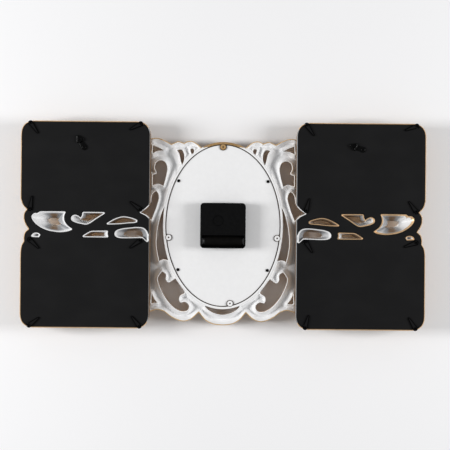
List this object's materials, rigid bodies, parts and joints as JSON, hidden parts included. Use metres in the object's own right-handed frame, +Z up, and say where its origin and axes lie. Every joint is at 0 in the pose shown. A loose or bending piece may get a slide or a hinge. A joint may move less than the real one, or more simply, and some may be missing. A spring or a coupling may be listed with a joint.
{
  "type": "photo frame wall clock",
  "caption": "Wide wall clock: an oval dial in pierced scrollwork between wings of landscape photo frames, with rear turn clips and hanging rings.",
  "frame": {"origin": "on the wall plane, behind the middle of the oval clock and of its movement", "axes": "+X to the right as seen from the front, +Y towards the wall, +Z up"},
  "size_m": [0.501, 0.0369, 0.2562],
  "materials": {
    "moulding": "antique bronze paint outside, bare white inside",
    "back_board": "black faced hardboard, matte",
    "black_metal": "black lacquered steel",
    "white_plate": "smooth white plastic",
    "black_gloss": "glossy black plastic",
    "dial_face": "printed cream card",
    "clear_glass": "clear float glass",
    "insert_card": "plain tinted card",
    "brass": "turned brass",
    "white_plastic": "moulded white plastic",
    "dark_rubber": "black rubber",
    "battery_steel": "sleeved round cell",
    "circuit": "green circuit board with a copper coil"
  },
  "bodies": {
    "frame": {"centre_scroll_moulding": "moulding", "right_wing_moulding": "moulding", "left_wing_moulding": "moulding", "right_back_board": "back_board", "left_back_board": "back_board", "right_upper_insert": "insert_card", "right_lower_insert": "insert_card", "left_upper_insert": "insert_card", "left_lower_insert": "insert_card", "right_upper_glass": "clear_glass", "right_lower_glass": "clear_glass", "left_upper_glass": "clear_glass", "left_lower_glass": "clear_glass", "right_hanger_strap": "black_metal", "right_hanger_screw": "black_metal", "left_hanger_strap": "black_metal", "left_hanger_screw": "black_metal", "clock_back_plate": "white_plate", "dial": "dial_face", "lens": "clear_glass", "plate_screw_right_upper": "black_metal", "plate_screw_right_lower": "black_metal", "plate_screw_left_upper": "black_metal", "plate_screw_left_lower": "black_metal", "movement_case": "black_gloss", "movement_cover": "black_gloss", "battery_contact_plus": "brass", "battery_contact_minus": "brass", "circuit_board": "circuit", "rubber_washer": "dark_rubber", "shaft_bush": "brass", "bush_nut": "brass"},
    "right_ring": {"right_hanger_ring": "black_metal"},
    "left_ring": {"left_hanger_ring": "black_metal"},
    "hour": {"hour_wheel": "white_plastic", "hour_hand": "black_metal"},
    "minute": {"minute_wheel": "brass", "minute_hand": "black_metal"},
    "second": {"second_wheel": "white_plastic", "second_hand": "black_metal"},
    "setter": {"time_set_wheel": "black_gloss"},
    "battery": {"battery": "battery_steel"},
    "clip_ru_outer_top": {"clip_right_upper_outer_top": "black_metal"},
    "clip_ru_inner_top": {"clip_right_upper_inner_top": "black_metal"},
    "clip_ru_outer_bottom": {"clip_right_upper_outer_bottom": "black_metal"},
    "clip_ru_inner_bottom": {"clip_right_upper_inner_bottom": "black_metal"},
    "clip_rl_outer_top": {"clip_right_lower_outer_top": "black_metal"},
    "clip_rl_inner_top": {"clip_right_lower_inner_top": "black_metal"},
    "clip_rl_outer_bottom": {"clip_right_lower_outer_bottom": "black_metal"},
    "clip_rl_inner_bottom": {"clip_right_lower_inner_bottom": "black_metal"},
    "clip_lu_outer_top": {"clip_left_upper_outer_top": "black_metal"},
    "clip_lu_inner_top": {"clip_left_upper_inner_top": "black_metal"},
    "clip_lu_outer_bottom": {"clip_left_upper_outer_bottom": "black_metal"},
    "clip_lu_inner_bottom": {"clip_left_upper_inner_bottom": "black_metal"},
    "clip_ll_outer_top": {"clip_left_lower_outer_top": "black_metal"},
    "clip_ll_inner_top": {"clip_left_lower_inner_top": "black_metal"},
    "clip_ll_outer_bottom": {"clip_left_lower_outer_bottom": "black_metal"},
    "clip_ll_inner_bottom": {"clip_left_lower_inner_bottom": "black_metal"}
  },
  "joints": [
    {"name": "minute_turn", "type": "hinge", "parent": "frame", "child": "minute", "pos_m": [0, -0.027, 0], "axis": [0, 1, 0], "continuous": true},
    {"name": "hour_turn", "type": "hinge", "parent": "frame", "child": "hour", "pos_m": [0, -0.025, 0], "axis": [0, 1, 0], "continuous": true},
    {"name": "second_turn", "type": "hinge", "parent": "frame", "child": "second", "pos_m": [0, -0.029, 0], "axis": [0, 1, 0], "continuous": true},
    {"name": "setter_turn", "type": "hinge", "parent": "frame", "child": "setter", "pos_m": [0.00594, -0.003, 0.00594], "axis": [0, 1, 0], "continuous": true},
    {"name": "battery_lift", "type": "slide", "parent": "frame", "child": "battery", "axis": [0, 1, 0], "range_m": [0, 0.02]},
    {"name": "right_ring_swing", "type": "hinge", "parent": "frame", "child": "right_ring", "pos_m": [0.17681, -0.0016, 0.10314], "axis": [-0.8526, 0, 0.5225], "range_deg": [0, 150]},
    {"name": "left_ring_swing", "type": "hinge", "parent": "frame", "child": "left_ring", "pos_m": [-0.16325, -0.0016, 0.09814], "axis": [-0.309, 0, 0.9511], "range_deg": [0, 150]},
    {"name": "turn_ru_outer_top", "type": "hinge", "parent": "frame", "child": "clip_ru_outer_top", "pos_m": [0.2385, -0.003, 0.125], "axis": [0, 1, 0], "continuous": true},
    {"name": "turn_ru_inner_top", "type": "hinge", "parent": "frame", "child": "clip_ru_inner_top", "pos_m": [0.1025, -0.003, 0.125], "axis": [0, 1, 0], "continuous": true},
    {"name": "turn_ru_outer_bottom", "type": "hinge", "parent": "frame", "child": "clip_ru_outer_bottom", "pos_m": [0.2385, -0.003, 0.0192], "axis": [0, 1, 0], "continuous": true},
    {"name": "turn_ru_inner_bottom", "type": "hinge", "parent": "frame", "child": "clip_ru_inner_bottom", "pos_m": [0.1025, -0.003, 0.0192], "axis": [0, 1, 0], "continuous": true},
    {"name": "turn_rl_outer_top", "type": "hinge", "parent": "frame", "child": "clip_rl_outer_top", "pos_m": [0.2385, -0.003, -0.0192], "axis": [0, 1, 0], "continuous": true},
    {"name": "turn_rl_inner_top", "type": "hinge", "parent": "frame", "child": "clip_rl_inner_top", "pos_m": [0.1025, -0.003, -0.0192], "axis": [0, 1, 0], "continuous": true},
    {"name": "turn_rl_outer_bottom", "type": "hinge", "parent": "frame", "child": "clip_rl_outer_bottom", "pos_m": [0.2385, -0.003, -0.125], "axis": [0, 1, 0], "continuous": true},
    {"name": "turn_rl_inner_bottom", "type": "hinge", "parent": "frame", "child": "clip_rl_inner_bottom", "pos_m": [0.1025, -0.003, -0.125], "axis": [0, 1, 0], "continuous": true},
    {"name": "turn_lu_outer_top", "type": "hinge", "parent": "frame", "child": "clip_lu_outer_top", "pos_m": [-0.2385, -0.003, 0.125], "axis": [0, 1, 0], "continuous": true},
    {"name": "turn_lu_inner_top", "type": "hinge", "parent": "frame", "child": "clip_lu_inner_top", "pos_m": [-0.1025, -0.003, 0.125], "axis": [0, 1, 0], "continuous": true},
    {"name": "turn_lu_outer_bottom", "type": "hinge", "parent": "frame", "child": "clip_lu_outer_bottom", "pos_m": [-0.2385, -0.003, 0.0192], "axis": [0, 1, 0], "continuous": true},
    {"name": "turn_lu_inner_bottom", "type": "hinge", "parent": "frame", "child": "clip_lu_inner_bottom", "pos_m": [-0.1025, -0.003, 0.0192], "axis": [0, 1, 0], "continuous": true},
    {"name": "turn_ll_outer_top", "type": "hinge", "parent": "frame", "child": "clip_ll_outer_top", "pos_m": [-0.2385, -0.003, -0.0192], "axis": [0, 1, 0], "continuous": true},
    {"name": "turn_ll_inner_top", "type": "hinge", "parent": "frame", "child": "clip_ll_inner_top", "pos_m": [-0.1025, -0.003, -0.0192], "axis": [0, 1, 0], "continuous": true},
    {"name": "turn_ll_outer_bottom", "type": "hinge", "parent": "frame", "child": "clip_ll_outer_bottom", "pos_m": [-0.2385, -0.003, -0.125], "axis": [0, 1, 0], "continuous": true},
    {"name": "turn_ll_inner_bottom", "type": "hinge", "parent": "frame", "child": "clip_ll_inner_bottom", "pos_m": [-0.1025, -0.003, -0.125], "axis": [0, 1, 0], "continuous": true}
  ],
  "couplings": [
    {"joint": "hour_turn", "follows": "minute_turn", "ratio": 0.083333},
    {"joint": "setter_turn", "follows": "minute_turn", "ratio": -3}
  ]
}
